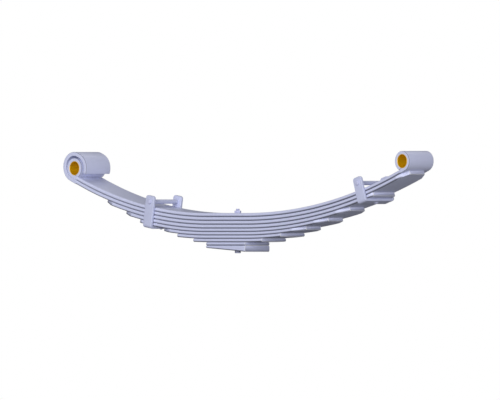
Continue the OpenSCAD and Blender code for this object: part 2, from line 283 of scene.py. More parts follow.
def tidy_mesh(mesh: bpy.types.Mesh, change: Callable[[bmesh.types.BMesh], None] | None = None) -> None:
    """Merges doubles, points the faces outwards and marks the sharp edges.

    Args:
        mesh: the mesh, changed in place.
        change: an edit to make between the merge and the shading.
    """
    bm = bmesh.new()
    bm.from_mesh(mesh)
    bmesh.ops.remove_doubles(bm, verts=bm.verts, dist=1e-7)
    bmesh.ops.recalc_face_normals(bm, faces=bm.faces)
    if change:
        change(bm)
    for face in bm.faces:
        face.smooth = True
    for edge in bm.edges:
        edge.smooth = edge.is_manifold and edge.calc_face_angle(0.0) < SHARP_TURN
    bm.to_mesh(mesh)
    bm.free()


def round_edges(bm: bmesh.types.BMesh, edges: Iterable[bmesh.types.BMEdge], width: float) -> None:
    """Rounds edges of a mesh that is being edited."""
    bmesh.ops.bevel(bm, geom=list(edges), offset=width, segments=2, profile=0.5, affect="EDGES",
                    clamp_overlap=False)


def end_rounding(place: Vector, width: float) -> Callable[[bmesh.types.BMesh], None]:
    """An edit that rounds the edges of a bar's end face.

    Args:
        place: the end face nearest to this point is rounded.
        width: how far the rounding goes.

    Returns:
        The edit, for tidy_mesh.
    """
    def change(bm: bmesh.types.BMesh) -> None:
        """Rounds the one end."""
        ends = [f for f in bm.faces if len(f.verts) > END_CORNERS]
        end = min(ends, key=lambda f: (f.calc_center_median() - place).length)
        round_edges(bm, end.edges, width)
    return change


def turned(name: str, outline: Sequence[tuple[float, float]], place: Matrix, material: Finish,
           hollow: bool = False, sides: int = 64) -> Piece:
    """Turns an outline about the z axis, as on a lathe.

    Args:
        name: the piece's name.
        outline: (radius, height) points in order, open at the axis or, if hollow, a closed loop.
        place: puts the turned shape where it belongs.
        material: the finish.
        hollow: whether the piece has a hole along its axis.
        sides: how many steps there are round the axis.

    Returns:
        The new piece.
    """
    points, faces = [], []
    for step in range(sides):
        angle = 2 * math.pi * step / sides
        points += [place @ Vector((r * math.cos(angle), r * math.sin(angle), z)) for r, z in outline]
    count = len(outline)
    for step in range(sides):
        here, there = step * count, (step + 1) % sides * count
        for i in range(count if hollow else count - 1):
            j = (i + 1) % count
            faces.append((here + i, there + i, there + j, here + j))
    if not hollow:
        faces.append([step * count for step in range(sides)])
        faces.append([step * count + count - 1 for step in range(sides)])
    mesh = bpy.data.meshes.new(name)
    mesh.from_pydata([tuple(point) for point in points], [], faces)
    mesh.materials.append(material)
    tidy_mesh(mesh)
    return placed(name, mesh)


def arc_points(centre: tuple[float, float], radius: float, start: float, end: float,
               steps: int) -> list[tuple[float, float]]:
    """Points on an arc between two angles in degrees, both ends included."""
    angles = [math.radians(start + (end - start) * i / steps) for i in range(steps + 1)]
    return [(centre[0] + radius * math.cos(a), centre[1] + radius * math.sin(a)) for a in angles]


def tube_wall(outer: float, half: float, chamfer: float) -> list[tuple[float, float]]:
    """Outline of a tube's outer wall, from one chamfered end to the other."""
    face = outer - chamfer
    return [(face, -half), (outer, chamfer - half), (outer, half - chamfer), (face, half)]


def joined_piece(name: str, pieces: Sequence[Piece]) -> Piece:
    """Joins pieces of one body into one object that keeps their materials."""
    bm = bmesh.new()
    for piece in pieces:
        bm.from_mesh(piece.data)
    mesh = bpy.data.meshes.new(name)
    mesh.materials.append(pieces[0].data.materials[0])
    bm.to_mesh(mesh)
    bm.free()
    for piece in pieces:
        bpy.data.objects.remove(piece)
    return placed(name, mesh)


# ---- finishes ----

Colour = tuple[float, float, float]


class SurfaceGraph(Graph):
    """The node tree of a material with one Principled shader."""

    def __init__(self, name: str) -> None:
        """Makes the material and clears its tree."""
        self.material = bpy.data.materials.new(name)
        self.material.use_nodes = True
        super().__init__(self.material.node_tree)
        self.tree.nodes.clear()
        self.shader = self.node("ShaderNodeBsdfPrincipled")
        self.node("ShaderNodeOutputMaterial", inputs={"Surface": self.shader.outputs[0]})

    def place(self) -> Value:
        """The point in the object's own frame."""
        return self.out(self.node("ShaderNodeTexCoord"), "Object")

    def kept(self, name: str, key: str) -> Value:
        """A value that the mesh keeps under a name: its Fac or its Vector."""
        return self.out(self.node("ShaderNodeAttribute", {"attribute_name": name}), key)

    def noise(self, vector: Value, scale: float, detail: float = 2.0) -> Value:
        """Soft noise from 0 to 1."""
        inputs = {"Vector": vector, "Scale": scale, "Detail": detail}
        return self.out(self.node("ShaderNodeTexNoise", inputs=inputs))

    def mix(self, share: Value, one: object, other: object) -> Value:
        """A colour between one and other."""
        inputs = {0: share, 6: one, 7: other}
        return self.out(self.node("ShaderNodeMix", {"data_type": "RGBA"}, inputs), 2)

    def relief(self, height: Value, depth: float) -> Value:
        """The normal of a surface whose height runs from 0 to depth."""
        return self.out(self.node("ShaderNodeBump", inputs={"Height": height, "Distance": depth}))

    def feed(self, **inputs: object) -> None:
        """Sets or links the shader's sockets, named with _ for each space."""
        for name, value in inputs.items():
            self._feed(self.shader.inputs[name.replace("_", " ")], value)


def rgba(colour: Iterable[float], factor: float) -> tuple[float, float, float, float]:
    """A colour times a factor, with full cover."""
    r, g, b = (min(1.0, c * factor) for c in colour)
    return r, g, b, 1.0


@dataclass(frozen=True)
class Paint:
    """Satin primer sprayed on steel, with the steel's grain just showing through, a painted highlight along
    rounded edges and painted shade low on the edges of bars.
    """

    name: str
    colour: Colour
    roughness: float = 0.42
    along_bar: bool = False     # whether the grain follows a rolled bar, and whether the painted shade low on the bar's edges is laid on
    painted_highlight_lift: float = 1.08      # painted highlight: how much paler the paint is made along a rounded edge
    crevice_shade: float = 0.22  # painted shade: how much darker the paint is made low on a bar's edges, where two bars meet
    grain_scale: Colour = (5.0, 150.0, 150.0)   # long along the bar and fine across it
    peel_depth: float = 0.06 * MM

    def material(self) -> Finish:
        """Builds the material."""
        g = SurfaceGraph(self.name)
        place = g.place()
        flow = g.kept("flow", "Vector") if self.along_bar else place
        clouds = g.noise(place, scale=7.0, detail=3.0)
        mottle = g.noise(place, scale=110.0)
        streaks = g.noise(g.vector("MULTIPLY", flow, self.grain_scale), scale=1.0, detail=3.0)
        tint = g.clamp(clouds * 0.5 + mottle * 0.2 + streaks * 0.3)
        body = g.mix(tint, rgba(self.colour, 0.93), rgba(self.colour, 1.05))
        # painted highlight along the rounded edges, broken up by the streaks
        rim = g.clamp(g.kept("rim", "Fac") * (0.6 + 0.4 * streaks))
        colour = g.mix(rim, body, rgba(self.colour, self.painted_highlight_lift))
        # painted shade low on a bar's edges, where it meets the next bar
        if self.along_bar:
            colour = g.mix(g.kept("crevice", "Fac"), colour, rgba(self.colour, self.crevice_shade))
        peel = g.noise(place, scale=700.0)
        height = peel * 0.6 + streaks * 0.4
        g.feed(Base_Color=colour, Roughness=g.clamp(self.roughness - 0.06 + 0.12 * mottle + 0.04 * peel),
               Normal=g.relief(height, self.peel_depth), Specular_IOR_Level=0.35)
        return g.material


@dataclass(frozen=True)
class Bronze:
    """Machined bronze: fine turning rings in the bore and a brighter faced end."""

    name: str
    bore: Colour
    face: Colour
    half_length: float
    face_depth: float = 1.3 * MM
    face_blend: float = 0.4 * MM
    ring_pitch: float = 0.8 * MM
    ring_depth: float = 0.03 * MM

    def material(self) -> Finish:
        """Builds the material."""
        g = SurfaceGraph(self.name)
        place = g.place()
        _, y, _ = g.parts(place)
        at_face = g.clamp((abs(y) - (self.half_length - self.face_depth)) / self.face_blend)
        rings = g.math("SINE", y * (2 * math.pi / self.ring_pitch)) * 0.5 + 0.5
        stain = g.noise(place, scale=60.0, detail=4.0)
        bore = g.mix(g.clamp(stain * 0.8 + rings * 0.15), rgba(self.bore, 0.85), rgba(self.bore, 1.12))
        face = g.mix(stain, rgba(self.face, 0.93), rgba(self.face, 1.04))
        g.feed(Base_Color=g.mix(at_face, bore, face), Metallic=g.clamp(0.35 - 0.15 * at_face),
               Roughness=g.clamp(0.34 + 0.14 * stain),
               Normal=g.relief(rings * (1 - at_face), self.ring_depth))
        return g.material


# ---- bars ----

BAR_SIDES = 32
STEP = 8 * MM
BLUNTEST = 0.46          # the most that an edge radius is of the bar's thickness
SHADE_GAIN = 1.9         # how fast the painted shade on a bar's edge deepens on its way down
SHADE_START = 0.25       # what the painted shade lags behind by, so that the upper part stays clear
FLAT_UNDER = 0.995       # the sine from which the surface is the flat underside, which gets no painted shade
HARD_STEP = 1000         # steep enough to turn the difference of two sines into a step


@dataclass(frozen=True)
class Station:
    """One cross-section of a bar."""

    low: Vector            # middle of the lower or outer face
    high: Vector           # middle of the upper or inner face
    half_width: float
    limit: float = 1.0     # half width that a straight cut leaves
    edge: float = 1.0      # how much of the bar's edge radius it has
    across: Vector = Vector((0, 1, 0))

    @property
    def middle(self) -> Vector:
        """The middle of the section."""
        return (self.low + self.high) / 2


def bar_tree() -> ShapeTree:
    """The tree that runs a bar with rounded long edges along a row of stations, with masks for a painted
    highlight and painted shade.
    """
    t = ShapeTree("rolled_bar", {"Geometry": "Geometry", "Edge Radius": "Float", "Material": "Material"})
    path = t.given("Geometry")
    count = t.out(t.node("GeometryNodeAttributeDomainSize", {"component": "MESH"}, {0: path}), "Point Count")
    tube = t.node("GeometryNodeMeshCylinder", {"fill_type": "NGON"},
                  {"Vertices": BAR_SIDES, "Side Segments": count - 1, "Radius": 1.0, "Depth": 1.0})
    x, y, z = t.parts(t.node("GeometryNodeInputPosition").outputs[0])
    ring = t.math("ROUND", (z + 0.5) * (count - 1))
    corner_steps = BAR_SIDES // 4 - 1
    turn = t.math("ARCTAN2", y, x) / (2 * math.pi) + 1
    index = t.math("ROUND", turn * BAR_SIDES) % BAR_SIDES
    quarter = t.math("FLOOR", index / (corner_steps + 1))
    share = (index - quarter * (corner_steps + 1)) / corner_steps
    angle = (quarter + share) * QUARTER
    to_corner = (quarter + 0.5) * QUARTER

    def at_ring(name: str, kind: str) -> Value:
        """The value that the ring's station keeps under a name."""
        field = t.node("GeometryNodeInputNamedAttribute", {"data_type": kind}, {"Name": name})
        settings = {"data_type": kind, "domain": "POINT"}
        return t.out(t.node("GeometryNodeSampleIndex", settings,
                            {"Geometry": path, "Value": field.outputs[0], "Index": ring}))

    middle, up, across = (at_ring(name, "FLOAT_VECTOR") for name in ("middle", "up", "across"))
    thick = t.out(t.node("ShaderNodeVectorMath", {"operation": "LENGTH"}, {0: up}), "Value")
    half_width, limit, edge, run = (at_ring(name, "FLOAT") for name in ("half_width", "limit", "edge", "run"))
    radius = t.math("MINIMUM", t.given("Edge Radius") * edge, thick * BLUNTEST)
    to_side, to_top = (t.math("SIGN", t.math(wave, to_corner)) for wave in ("COSINE", "SINE"))
    side = to_side * (half_width - radius) + radius * t.math("COSINE", angle)
    rise = to_top * (thick / 2 - radius) + radius * t.math("SINE", angle)
    side = t.clamp(side, -limit, limit)
    offset = t.vector("ADD", t.scaled(across, side), t.scaled(up, rise / thick))
    under = t.clamp(-t.math("SINE", angle))
    shape = t.stored(t.out(tube, "Mesh"), "flow", t.joined(run, side, rise), "FLOAT_VECTOR")
    # mask for the painted highlight: highest in the middle of each rounded edge
    shape = t.stored(shape, "rim", t.math("SINE", share * math.pi))
    # mask for the painted shade: grows down the lower rounded edges and stops at the flat underside
    shade = t.clamp(under * SHADE_GAIN - SHADE_START) * t.clamp((FLAT_UNDER - under) * HARD_STEP)
    shape = t.stored(shape, "crevice", shade)
    shape = t.moved(shape, t.vector("ADD", middle, offset))
    t.close(shape)
    return t


class BarMaker:
    """Makes bars with the one tree."""

    def __init__(self) -> None:
        """Builds the tree."""
        self.tree = bar_tree()

    def make(self, name: str, stations: Sequence[Station], edge_radius: float, material: Finish,
             first_run: float = 0.0) -> Piece:
        """Makes one bar.

        Args:
            name: the piece's name.
            stations: its cross-sections, in order.
            edge_radius: the radius of its four long edges.
            material: its finish.
            first_run: how far along the whole bar the first station is.

        Returns:
            The new piece.
        """
        middles = [s.middle for s in stations]
        runs = [first_run]
        for one, other in zip(middles, middles[1:]):
            runs.append(runs[-1] + (other - one).length)
        mesh = bpy.data.meshes.new(f"{name}_path")
        mesh.from_pydata([tuple(m) for m in middles], [], [])
        for key, vectors in (("middle", middles), ("up", [s.high - s.low for s in stations]),
                             ("across", [s.across for s in stations])):
            flat = [c for v in vectors for c in v]
            mesh.attributes.new(key, "FLOAT_VECTOR", "POINT").data.foreach_set("vector", flat)
        for key, numbers in (("half_width", [s.half_width for s in stations]),
                             ("limit", [s.limit for s in stations]),
                             ("edge", [s.edge for s in stations]), ("run", runs)):
            mesh.attributes.new(key, "FLOAT", "POINT").data.foreach_set("value", numbers)
        return self.tree.make(name, {"Edge Radius": edge_radius, "Material": material}, mesh)


def spread(start: float, end: float, step: float = STEP) -> list[float]:
    """Evenly spaced numbers from start to end, both included, no further apart than step."""
    count = max(1, math.ceil(abs(end - start) / step))
    return [start + (end - start) * i / count for i in range(count + 1)]


@dataclass(frozen=True)
class Arm:
    """One side of the spring. Its leaves follow arcs about one centre, beyond a flat seat."""

    name: str
    side: int              # -1 at the front, 1 at the rear
    radius: float          # of the underside of leaf 1
    seat_half: float
    datum: float           # height of the underside of leaf 1 at the seat
    eye_turn: float        # slope of the arm at the eye
    clip_turn: float       # slope of the arm at the clip
    eye: Vector            # middle of the eye

    @property
    def inner_body(self) -> str:
        """The body that the clip rides on."""
        return f"{self.name}_arm"

    @property
    def outer_body(self) -> str:
        """The body that the eye rides on."""
        return f"{self.name}_tip"

    def reach(self, turn: float) -> float:
        """Distance along the underside of leaf 1 from the centre bolt to where the arm slopes by turn."""
        return self.seat_half + self.radius * turn

    def at(self, reach: float, rise: float) -> Vector:
        """The point at a distance along the arm, and a height above the underside of leaf 1 square to it."""
        if reach <= self.seat_half:
            return Vector((self.side * reach, 0, self.datum + rise))
        turn = (reach - self.seat_half) / self.radius
        arc = self.radius - rise
        return Vector((self.side * (self.seat_half + arc * math.sin(turn)), 0,
                       self.datum + self.radius - arc * math.cos(turn)))

    def square_to(self, turn: float, origin: Vector) -> Matrix:
        """A frame at origin with x outboard along the arm, z square to it and y across."""
        out = Vector((self.side * math.cos(turn), 0, math.sin(turn)))
        up = Vector((-self.side * math.sin(turn), 0, math.cos(turn)))
        rows = [(out[i], (0, 1, 0)[i], up[i], origin[i]) for i in range(3)]
        return Matrix([*rows, (0, 0, 0, 1)])


def slope_at(x: float, seat_half: float, arc: float) -> float:
    """Slope of an arc at a distance from the centre bolt."""
    return math.asin((x - seat_half) / arc)


class Corner(Enum):
    """How much of a leaf end's corners is cut off, as a share of a full cut."""

    SQUARE = 0.0
    SMALL = 0.33
    FULL = 1.0


@dataclass(frozen=True)
class Leaf:
    """One leaf of the pack."""

    node: str
    number: int
    top: float              # height of its top above the underside of leaf 1
    bottom: float
    front_corner: Corner = Corner.SQUARE
    rear_corner: Corner = Corner.SQUARE

    def corner(self, arm: Arm) -> Corner:
        """How its corners are cut on one arm."""
        return self.front_corner if arm.side < 0 else self.rear_corner


@dataclass
class LeafPack:
    """The eight leaves, with the eyes rolled on leaf 1 and the wrap on leaf 2."""

    front: Arm
    rear: Arm
    width: float
    bars: BarMaker
    paint: Finish
    edge_radius: float = 5.0 * MM
    end_edge: float = 0.7 * MM
    corner_long: float = 40 * MM
    corner_deep: float = 21 * MM
    eye_outer: float = 29.6 * MM
    eye_inner: float = 20.6 * MM
    slit: float = 1.2 * MM
    wrap_inner: float = 32 * MM
    wrap_straight: float = 5 * MM
    wrap_narrowing: float = 1 * MM
    wrap_step: float = 566 * MM
    eye_edge: float = 0.25     # how much less rounded the edges are round the eyes
    clip_gap: float = 17 * MM
    clip_margin: float = 4 * MM     # how far past the clip the outer stretch's span starts
    eye_margin: float = 2 * MM      # how far short of the eye it stops
    eye_steps: int = 54
    eye_lead: float = 150.0         # degrees up to which the inner and outer faces turn together
    lead_share: float = 0.75        # share of the steps that get there
    wrap_turn: float = 6.0          # degrees between stations of the wrap

    CORNERS = {2: (Corner.SQUARE, Corner.FULL), 3: (Corner.FULL, Corner.SMALL), 4: (Corner.FULL, Corner.FULL),
               5: (Corner.SMALL, Corner.FULL), 6: (Corner.FULL, Corner.FULL)}

    def leaves(self) -> list[Leaf]:
        """Reads each leaf's place from its CAD node."""
        names = ["leaf_1_main", "leaf_2_wrapper"] + [f"leaf_{n}" for n in range(3, 9)]
        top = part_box("centre_bolt_nut")[0].z - self.front.datum
        found = []
        for number, node in enumerate(names, 1):
            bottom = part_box(node)[0].z - self.front.datum
            found.append(Leaf(node, number, top, bottom, *self.CORNERS.get(number, ())))
            top = bottom
        return found

    def build(self) -> None:
        """Builds every stretch of every leaf."""
        for leaf in self.leaves():
            for arm in (self.front, self.rear):
                self.build_arm(leaf, arm)

    def end_reach(self, leaf: Leaf, arm: Arm) -> float:
        """How far a leaf runs along an arm."""
        if leaf.number == 1 or (leaf.number == 2 and arm.side < 0):
            return arm.reach(arm.eye_turn)
        low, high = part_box(leaf.node)
        furthest = high.x if arm.side > 0 else -low.x
        return arm.reach(slope_at(furthest, arm.seat_half, arm.radius - leaf.bottom))

    def build_arm(self, leaf: Leaf, arm: Arm) -> None:
        """Builds the one or two stretches of a leaf on one arm, and says which two bodies each lies between.
        """
        clip = arm.reach(arm.clip_turn)
        end = self.end_reach(leaf, arm)
        passes_clip = end > clip + self.clip_gap
        name = f"{leaf.node}_{arm.name}"
        inner_end = clip if passes_clip else end
        inner = self.stations(leaf, arm, 0.0, inner_end, end)
        self.add(name, leaf, arm, inner, 0.0, not passes_clip)
        if passes_clip:
            outer = self.stations(leaf, arm, clip, end, end)
            if leaf.number == 1:
                outer += self.rolled_eye(leaf, arm)
            if leaf.number == 2 and arm.side < 0:
                outer += self.wrap(leaf, arm)
            self.add(f"{name}_end", leaf, arm, outer, clip, True)

    def stations(self, leaf: Leaf, arm: Arm, start: float, stop: float, end: float) -> list[Station]:
        """Cross-sections of the plain stretch of a leaf from start to stop, on a leaf that ends at end."""
        share = leaf.corner(arm).value
        cut = end - self.corner_long * share
        marks = [start, arm.seat_half, stop, cut]
        if leaf.number == 1:
            marks.append(end - math.sqrt(self.eye_inner ** 2 - (self.eye_outer - leaf.top) ** 2))
        if leaf.number == 2 and arm.side < 0:
            marks += [self.wrap_reach(arm), self.wrap_reach(arm) + self.wrap_narrowing]
        marks = sorted({m for m in marks if start <= m <= stop})
        reaches = [start]
        for one, other in zip(marks, marks[1:]):
            reaches += spread(one, other)[1:]
        return [self.station(leaf, arm, reach, end, cut) for reach in reaches]

    def wrap_reach(self, arm: Arm) -> float:
        """How far along the front arm leaf 2 starts to narrow."""
        return arm.reach(slope_at(self.wrap_step, arm.seat_half, arm.radius))

    def station(self, leaf: Leaf, arm: Arm, reach: float, end: float, cut: float) -> Station:
        """One cross-section of the plain stretch of a leaf."""
        half = self.width / 2
        top = leaf.top
        if leaf.number == 1 and end - reach < self.eye_inner:
            dip = self.eye_outer - math.sqrt(self.eye_inner ** 2 - (end - reach) ** 2)
            top = min(top, dip)
        if leaf.number == 2 and arm.side < 0:
            half -= min(self.wrap_narrowing, max(0.0, reach - self.wrap_reach(arm)))
        limit = self.width / 2 - max(0.0, reach - cut) * self.corner_deep / self.corner_long
        edge = self.eye_edge if leaf.number <= 2 and end - reach < self.eye_inner else 1.0
        return Station(arm.at(reach, leaf.bottom), arm.at(reach, top), half, limit, edge)

    def rolled_eye(self, leaf: Leaf, arm: Arm) -> list[Station]:
        """Cross-sections of leaf 1 round its eye, until it is a slit's width above the leaf."""
        place = arm.square_to(arm.eye_turn, arm.eye)
        drop = self.eye_outer - leaf.top - self.slit
        outer_end = 180 + math.degrees(math.asin(drop / self.eye_outer))
        inner_end = 180 + math.degrees(math.asin(drop / self.eye_inner))
        lead, lead_share = self.eye_lead, self.lead_share
        found = []
        for i in range(1, self.eye_steps + 1):
            share = i / self.eye_steps
            turns = []
            for last in (outer_end, inner_end):
                even = -90 + (lead + 90) * share / lead_share
                late = lead + (last - lead) * (share - lead_share) / (1 - lead_share)
                turns.append(math.radians(even if share <= lead_share else late))
            low, high = (place @ Vector((r * math.cos(a), 0, r * math.sin(a)))
                         for r, a in zip((self.eye_outer, self.eye_inner), turns))
            found.append(Station(low, high, self.width / 2, edge=self.eye_edge))
        return found

    def wrap(self, leaf: Leaf, arm: Arm) -> list[Station]:
        """Cross-sections of leaf 2 under, outside and over the front eye."""
        place = arm.square_to(arm.eye_turn, arm.eye)
        inner, outer = self.wrap_inner, self.wrap_inner + leaf.top - leaf.bottom
        centre = self.wrap_inner - self.eye_outer
        half = self.width / 2 - self.wrap_narrowing
        found = []
        turns = [(self.wrap_straight, d) for d in spread(-90, 90, self.wrap_turn)]
        turns += [(-self.wrap_straight, d) for d in spread(90, 180, self.wrap_turn)]
        for x, degrees in turns:
            a = math.radians(degrees)
            low, high = (place @ Vector((x + r * math.cos(a), 0, centre + r * math.sin(a)))
                         for r in (outer, inner))
            found.append(Station(low, high, half, edge=self.eye_edge))
        return found

    def add(self, name: str, leaf: Leaf, arm: Arm, stations: Sequence[Station], run: float,
            free_end: bool) -> None:
        """Makes one stretch of a leaf and reports the two bodies that it lies between."""
        piece = self.bars.make(name, stations, self.edge_radius, self.paint, run)
        if free_end:
            tidy_mesh(piece.data, end_rounding(stations[-1].middle, self.end_edge))
        clip = arm.reach(arm.clip_turn)
        if run == 0.0:
            start, end = arm.at(arm.seat_half, 0), arm.at(clip - self.clip_gap, 0)
            bodies = (ROOT, arm.inner_body)
        else:
            start, end = arm.at(clip + self.clip_gap + self.clip_margin, 0), arm.eye
            end = end + Vector((-arm.side * (self.eye_outer + self.eye_margin), 0, 0))
            bodies = (arm.inner_body, arm.outer_body)
        start, end = Vector((start.x, 0, self.front.datum)), Vector((end.x, 0, self.front.datum))
        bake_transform(piece)
        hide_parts(leaf.node)
        log.info("%s: %d stations, bends from %s to %s", name, len(stations), *bodies)


# ---- fasteners ----

def thread_tree() -> ShapeTree:
    """The tree that makes a threaded rod from z = 0 up, with a chamfered tip."""
    t = ShapeTree("threaded_rod", {"Rings": "Int", "Radius": "Float", "Length": "Float", "Pitch": "Float",
                                   "Depth": "Float", "Material": "Material"})
    radius, length, depth = t.given("Radius"), t.given("Length"), t.given("Depth")
    sides = 48
    flat = 0.15        # flat crests and roots, as a share of the wave
    tip = 1.6          # chamfer of the tip, in thread depths
    rod = t.node("GeometryNodeMeshCylinder", {"fill_type": "NGON"},
                 {"Vertices": sides, "Side Segments": t.given("Rings"), "Radius": 1.0, "Depth": 1.0})
    x, y, z = t.parts(t.node("GeometryNodeInputPosition").outputs[0])
    turn = t.math("ARCTAN2", y, x) / (2 * math.pi)
    height = (z + 0.5) * length
    wave = abs((height / t.given("Pitch") - turn) % 1.0 - 0.5) * 2
    groove = t.clamp(wave * (1 + 2 * flat) - flat)
    r = radius - depth * groove
    r = t.math("MINIMUM", r, radius - tip * depth + (length - height))
    t.close(t.moved(t.out(rod, "Mesh"), t.joined(x * r, y * r, height)))
    return t


def nut_tree() -> ShapeTree:
    """The tree that makes a hexagonal nut from z = 0 up, with its corners chamfered at both faces."""
    t = ShapeTree("hex_nut", {"Flats": "Float", "Height": "Float", "Bore Radius": "Float",
                              "Material": "Material"})
    around, along = 96, 48
    face_share = 0.98      # the flat face's radius as a share of the nut's half width
    chamfer_slope = math.tan(math.radians(60))
    bore_chamfer = 0.7 * MM
    grid = t.node("GeometryNodeMeshGrid", inputs={"Size X": 1.0, "Size Y": 1.0, "Vertices X": around + 1,
                                                  "Vertices Y": along + 1})
    x, y, _ = t.parts(t.node("GeometryNodeInputPosition").outputs[0])
    turn = t.math("ROUND", (x + 0.5) * around) % around * (2 * math.pi / around)
    loop = (y + 0.5) * 4
    height = t.given("Height")
    z = (t.clamp(loop) - t.clamp(loop - 2)) * height
    inward = t.clamp(loop - 1) - t.clamp(loop - 3)
    from_face = t.math("MINIMUM", z, height - z)
    half = t.given("Flats") / 2
    flank = half / t.math("COSINE", (turn + math.pi / 6) % (math.pi / 3) - math.pi / 6)
    cone = half * face_share + from_face * chamfer_slope
    outer = t.math("MINIMUM", flank, cone)
    bore = t.given("Bore Radius") + t.math("MAXIMUM", bore_chamfer - from_face, 0.0)
    r = outer * (1 - inward) + bore * inward
    place = t.joined(r * t.math("SINE", turn), r * t.math("COSINE", turn), z)
    shape = t.moved(t.out(grid, "Mesh"), place)
    merged = t.node("GeometryNodeMergeByDistance", inputs={"Geometry": shape, "Distance": 1e-6})
    t.close(t.out(merged))
    return t


@dataclass
class Fasteners:
    """Makes the nuts and the threaded ends of bolts."""

    steel: Finish
    pitch: float = 1.5 * MM
    thread_depth: float = 0.75 * MM
    rings_per_turn: int = 10

    def __post_init__(self) -> None:
        """Builds the trees."""
        self.threads = thread_tree()
        self.nuts = nut_tree()

    def nut(self, name: str, flats: float, height: float, bolt_radius: float, place: Matrix) -> Piece:
        """Makes a nut."""
        values = {"Flats": flats, "Height": height, "Bore Radius": bolt_radius, "Material": self.steel}
        piece = self.nuts.make(name, values)
        piece.data.transform(place)
        return piece

    def thread(self, name: str, radius: float, length: float, place: Matrix) -> Piece:
        """Makes a threaded end."""
        rings = round(self.rings_per_turn * length / self.pitch)
        values = {"Rings": rings, "Radius": radius, "Length": length, "Pitch": self.pitch,
                  "Depth": self.thread_depth, "Material": self.steel}
        piece = self.threads.make(name, values)
        piece.data.transform(place)
        return piece


def keep(piece: Piece, body: str, node: str) -> None:
    """Makes a piece ride on a body in place of a CAD node, and reports it."""
    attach(piece, body)
    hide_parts(node)
    log.info("%s: %d faces, rides on %s", piece.name, len(piece.data.polygons), body)


@dataclass
class AxleSeat:
    """The spacer plate, the tapered wedge and the centre bolt that locate the axle."""

    width: float
    bars: BarMaker
    plate_paint: Finish
    fasteners: Fasteners
    plate_edge: float = 4.5 * MM
    end_edge: float = 0.7 * MM
    spot_clearance: float = 1 * MM
    head_edge: float = 1.6 * MM
    head_rise: float = 0.08         # how far the head reaches up into the wedge, in head radii
    bolt_radius: float = 5.55 * MM
    nut_bore: float = 5.6 * MM
    cutter_length: float = 10 * MM

    def build(self) -> None:
        """Builds the four pieces."""
        self.spacer()
        self.wedge()
        self.bolt()
        self.nut()

    def plate(self, name: str, low: Vector, high: Vector, drop: float) -> Piece:
        """Makes a rolled plate with rounded long edges.

        Args:
            name: the piece's name.
            low: lowest corner of its box.
            high: highest corner of its box.
            drop: how much lower its underside is at the rear end than at the front.

        Returns:
            The new piece.
        """
        stations = []
        for x in spread(low.x, high.x):
            under = low.z + drop * (high.x - x) / (high.x - low.x)
            stations.append(Station(Vector((x, 0, under)), Vector((x, 0, high.z)), self.width / 2))
        piece = self.bars.make(name, stations, self.plate_edge, self.plate_paint)
        for end in (stations[0], stations[-1]):
            tidy_mesh(piece.data, end_rounding(end.middle, self.end_edge))
        return piece

    def spacer(self) -> None:
        """Flat plate between leaf 8 and the wedge."""
        piece = self.plate("spacer_plate_body", *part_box("spacer_plate"), drop=0.0)
        keep(piece, ROOT, "spacer_plate")

    def wedge(self) -> None:
        """Tapered plate with a spot face for the bolt's head."""
        low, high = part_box("axle_wedge")
        piece = self.plate("axle_wedge_body", low, high, drop=-2 * low.z)
        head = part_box("centre_bolt")[1].x + self.spot_clearance
        seat = head * -low.z / high.x
        reach = Matrix.Translation((0, 0, seat))
        cutter = turned("spot_face", [(head, -self.cutter_length), (head, 0)], reach, self.plate_paint)
        cut = piece.modifiers.new("spot_face", "BOOLEAN")
        cut.operation = "DIFFERENCE"
        cut.solver = "EXACT"
        cut.object = cutter
        graph = bpy.context.evaluated_depsgraph_get()
        mesh = bpy.data.meshes.new_from_object(piece.evaluated_get(graph))
        piece.modifiers.clear()
        piece.data = mesh
        mesh.name = piece.name
        bpy.data.objects.remove(cutter)
        tidy_mesh(mesh)
        keep(piece, ROOT, "axle_wedge")

    def bolt(self) -> None:
        """Bolt with a round head below the wedge and a thread above the nut."""
        low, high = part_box("centre_bolt")
        head = high.x
        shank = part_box("centre_bolt_nut")[0].z
        seat = head * self.head_rise
        radius = self.bolt_radius
        outline = arc_points((head - self.head_edge, low.z + self.head_edge), self.head_edge, -90, 0, 5)
        outline = [(radius / 2, low.z)] + outline + [(head, seat), (radius, seat), (radius, shank)]
        rod = turned("bolt_rod", outline, Matrix(), self.fasteners.steel)
        tail = self.fasteners.thread("bolt_tail", radius, high.z - shank, Matrix.Translation((0, 0, shank)))
        keep(joined_piece("centre_bolt_body", [rod, tail]), ROOT, "centre_bolt")

    def nut(self) -> None:
        """Hexagonal nut on the top of the pack."""
        low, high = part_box("centre_bolt_nut")
        piece = self.fasteners.nut("centre_bolt_nut_body", high.y - low.y, high.z - low.z, self.nut_bore,
                                   Matrix.Translation((0, 0, low.z)))
        keep(piece, ROOT, "centre_bolt_nut")


@dataclass
class EyeBushing:
    """Bronze sleeve in one eye."""

    arm: Arm
    half_length: float
    bore: float
    bronze: Finish
    chamfer: float = 1.0 * MM
    groove_half: float = 2.5 * MM
    groove_deep: float = 0.8 * MM

    def build(self) -> None:
        """Turns the sleeve, with chamfered ends and a grease groove round the middle of its bore."""
        node = f"{self.arm.name}_eye_bushing"
        low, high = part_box(node)
        outer = (high.x - low.x) / 2
        h, c, g = self.half_length, self.chamfer, self.groove_half
        bore, deep = self.bore, self.bore + self.groove_deep
        outline = [(bore + c, -h), *tube_wall(outer, h, c), (bore + c, h), (bore, h - c), (bore, g),
                   (deep, g / 2), (deep, -g / 2), (bore, -g), (bore, c - h)]
        place = Matrix.Translation((low + high) / 2) @ Matrix.Rotation(QUARTER, 4, "X")
        piece = turned(f"{node}_sleeve", outline, place, self.bronze, hollow=True, sides=96)
        keep(piece, self.arm.outer_body, node)


